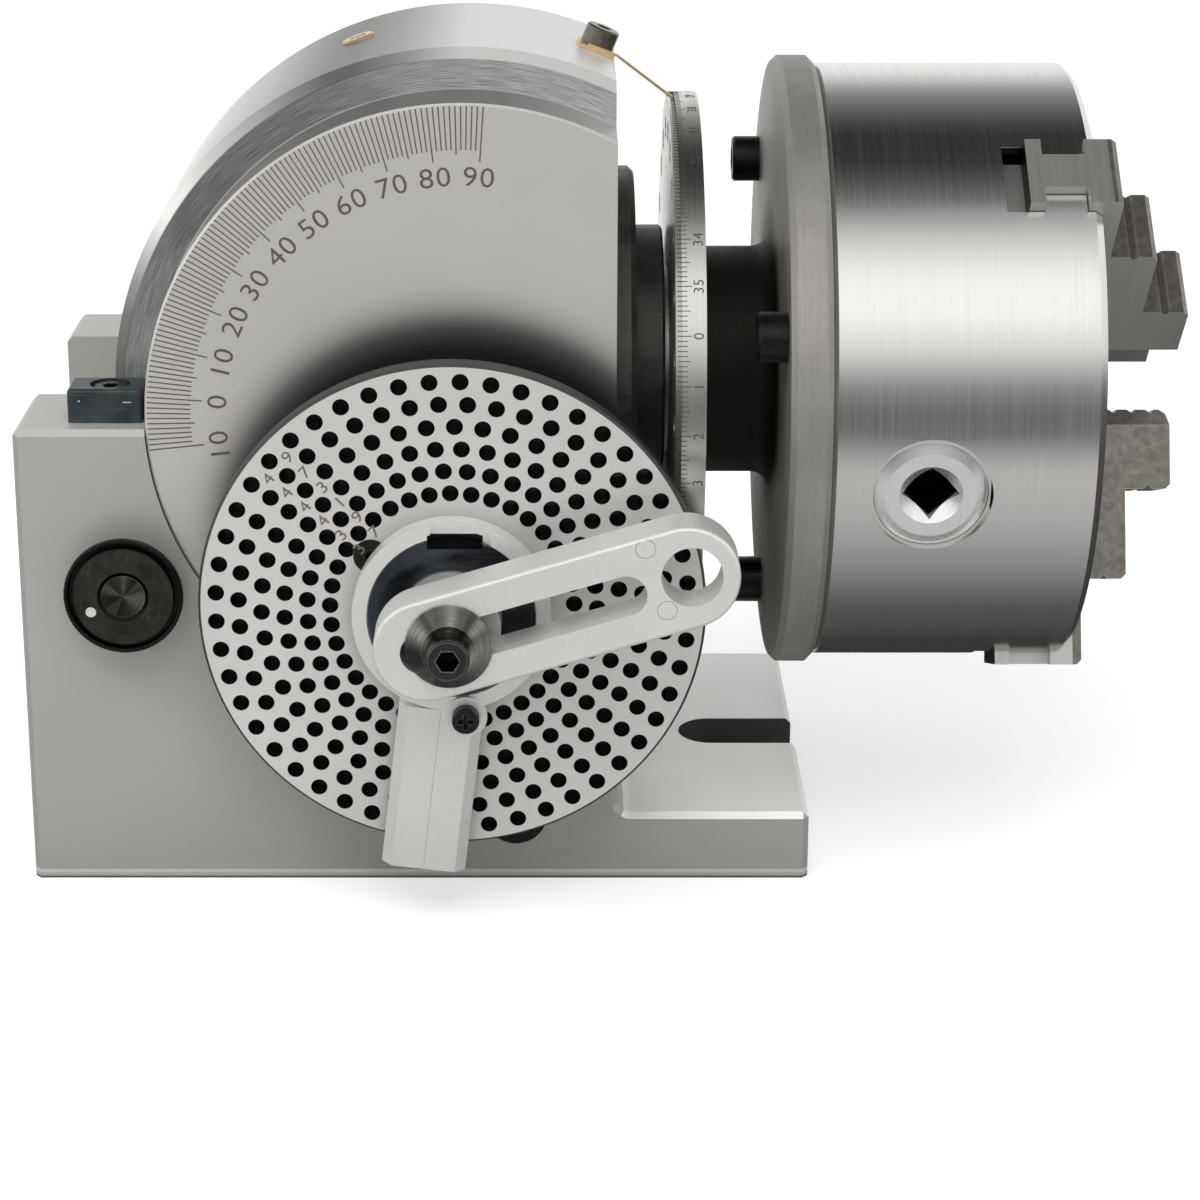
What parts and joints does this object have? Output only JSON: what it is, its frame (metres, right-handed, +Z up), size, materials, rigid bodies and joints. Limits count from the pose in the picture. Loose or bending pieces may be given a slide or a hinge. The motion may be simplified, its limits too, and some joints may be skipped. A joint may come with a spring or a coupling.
{
  "type": "dividing head",
  "caption": "Swivelling dividing head with a worm drive, slotted crank, index plate with sector arms, direct index dial and self-centring jaw chuck.",
  "frame": {"origin": "on the underside of the base, straight below the crossing of the swivel and spindle axes", "axes": "+X along the spindle towards the chuck, +Y to the back, away from the crank, +Z up"},
  "size_m": [0.2374, 0.1549, 0.172],
  "materials": {
    "base_iron": "machined and stoned",
    "head_iron": "turned face and drum",
    "ground_steel": "ground",
    "bright_steel": "turned",
    "blasted_steel": "bead blasted",
    "black_steel": "blackened",
    "backplate_iron": "turned rim",
    "spring_steel": "blued",
    "brass": "bright",
    "bronze": "turned"
  },
  "bodies": {
    "base": {"base_casting": "base_iron", "vernier_block": "black_steel", "vernier_screw": "black_steel", "clamp_stud": "bright_steel", "clamp_washer": "bright_steel", "clamp_nut": "bright_steel"},
    "clamp_knob": {"lock_knob": "black_steel"},
    "head": {"head_casting": "head_iron", "nose_cover": "black_steel", "nose_cover_screws": "black_steel", "front_bush": "bronze", "rear_bush": "bronze", "oil_cup": "brass", "oiler_ball": "bright_steel", "pointer_clip": "brass", "pointer_screw": "black_steel", "pointer_wire": "brass", "lock_pad": "brass"},
    "direct_index": {"index_pin": "bright_steel", "index_pin_knob": "black_steel"},
    "spindle_lock": {"spindle_lock_screw": "black_steel", "spindle_lock_bar": "black_steel"},
    "sleeve": {"worm_sleeve": "bright_steel", "release_lever": "black_steel", "index_plate": "bright_steel", "index_plate_screws": "black_steel", "spring_ring": "spring_steel"},
    "left_sector": {"sector_arm_left": "blasted_steel"},
    "right_sector": {"sector_arm_right": "blasted_steel", "sector_screw": "black_steel", "sector_washer": "spring_steel"},
    "worm": {"worm_shaft": "bright_steel", "shaft_collar": "bright_steel", "cone_washer": "black_steel", "crank_screw": "black_steel"},
    "crank": {"crank_arm": "blasted_steel"},
    "spindle_line": {"spindle": "bright_steel", "worm_wheel": "bronze", "wheel_key": "bright_steel", "thrust_washer": "bright_steel", "locknut": "black_steel", "dial": "ground_steel", "backplate": "backplate_iron", "backplate_screws": "black_steel", "chuck_body": "ground_steel", "chuck_rear_cover": "ground_steel", "rear_cover_screws": "ground_steel", "pinion_retainers": "ground_steel"},
    "scroll": {"scroll_plate": "ground_steel"},
    "pinion_a": {"pinion_1": "ground_steel"},
    "pinion_b": {"pinion_2": "ground_steel"},
    "pinion_c": {"pinion_3": "ground_steel"},
    "jaw_a": {"jaw_1": "ground_steel"},
    "jaw_b": {"jaw_2": "ground_steel"},
    "jaw_c": {"jaw_3": "ground_steel"}
  },
  "joints": [
    {"name": "clamp_knob_turn", "type": "hinge", "parent": "base", "child": "clamp_knob", "pos_m": [-0.0681, -0.0483, 0.065], "axis": [0, -1, 0], "range_deg": [0, 180]},
    {"name": "head_tilt", "type": "hinge", "parent": "base", "child": "head", "pos_m": [0, 0, 0.1], "axis": [0, -1, 0], "range_deg": [-10, 90]},
    {"name": "direct_index_slide", "type": "slide", "parent": "head", "child": "direct_index", "axis": [1, 0, 0], "range_m": [0, 0.015]},
    {"name": "spindle_lock_turn", "type": "hinge", "parent": "head", "child": "spindle_lock", "pos_m": [0.016, 0.05, 0.1], "axis": [0, 1, 0], "range_deg": [0, 90]},
    {"name": "worm_release", "type": "hinge", "parent": "head", "child": "sleeve", "pos_m": [-0.00052, -0.04, 0.06283], "axis": [0, -1, 0], "range_deg": [0, 65]},
    {"name": "left_sector_turn", "type": "hinge", "parent": "sleeve", "child": "left_sector", "pos_m": [-0.002, -0.0627, 0.066], "axis": [0, -1, 0], "range_deg": [-300, 0]},
    {"name": "right_sector_turn", "type": "hinge", "parent": "sleeve", "child": "right_sector", "pos_m": [-0.002, -0.065, 0.066], "axis": [0, -1, 0], "range_deg": [0, 300]},
    {"name": "worm_spin", "type": "hinge", "parent": "sleeve", "child": "worm", "pos_m": [-0.002, -0.04, 0.066], "axis": [0, 1, 0], "continuous": true},
    {"name": "crank_slide", "type": "slide", "parent": "worm", "child": "crank", "axis": [0.9578, 0, 0.2874], "range_m": [-0.035, 0.0054]},
    {"name": "spindle_spin", "type": "hinge", "parent": "head", "child": "spindle_line", "pos_m": [0, 0, 0.1], "axis": [1, 0, 0], "continuous": true},
    {"name": "scroll_spin", "type": "hinge", "parent": "spindle_line", "child": "scroll", "pos_m": [0.1, 0, 0.1], "axis": [1, 0, 0], "range_deg": [-540, 588]},
    {"name": "pinion_a_spin", "type": "hinge", "parent": "spindle_line", "child": "pinion_a", "pos_m": [0.0914, 0, 0.1], "axis": [0, -0.9848, -0.1736], "range_deg": [-3540, 3250]},
    {"name": "pinion_b_spin", "type": "hinge", "parent": "spindle_line", "child": "pinion_b", "pos_m": [0.0914, 0, 0.1], "axis": [0, 0.6428, -0.766], "range_deg": [-3540, 3250]},
    {"name": "pinion_c_spin", "type": "hinge", "parent": "spindle_line", "child": "pinion_c", "pos_m": [0.0914, 0, 0.1], "axis": [0, 0.342, 0.9397], "range_deg": [-3540, 3250]},
    {"name": "jaw_a_slide", "type": "slide", "parent": "spindle_line", "child": "jaw_a", "axis": [0, -0.6428, 0.766], "range_m": [-0.0099, 0.0091]},
    {"name": "jaw_b_slide", "type": "slide", "parent": "spindle_line", "child": "jaw_b", "axis": [0, -0.342, -0.9397], "range_m": [-0.0099, 0.0091]},
    {"name": "jaw_c_slide", "type": "slide", "parent": "spindle_line", "child": "jaw_c", "axis": [0, 0.9848, 0.1736], "range_m": [-0.0099, 0.0091]}
  ],
  "couplings": [
    {"joint": "worm_spin", "follows": "spindle_spin", "ratio": -40},
    {"joint": "pinion_a_spin", "follows": "scroll_spin", "ratio": -6},
    {"joint": "pinion_b_spin", "follows": "scroll_spin", "ratio": -6},
    {"joint": "pinion_c_spin", "follows": "scroll_spin", "ratio": -6},
    {"joint": "jaw_a_slide", "follows": "scroll_spin", "m_per_rad": -0.00095493},
    {"joint": "jaw_b_slide", "follows": "scroll_spin", "m_per_rad": -0.00095493},
    {"joint": "jaw_c_slide", "follows": "scroll_spin", "m_per_rad": -0.00095493}
  ]
}
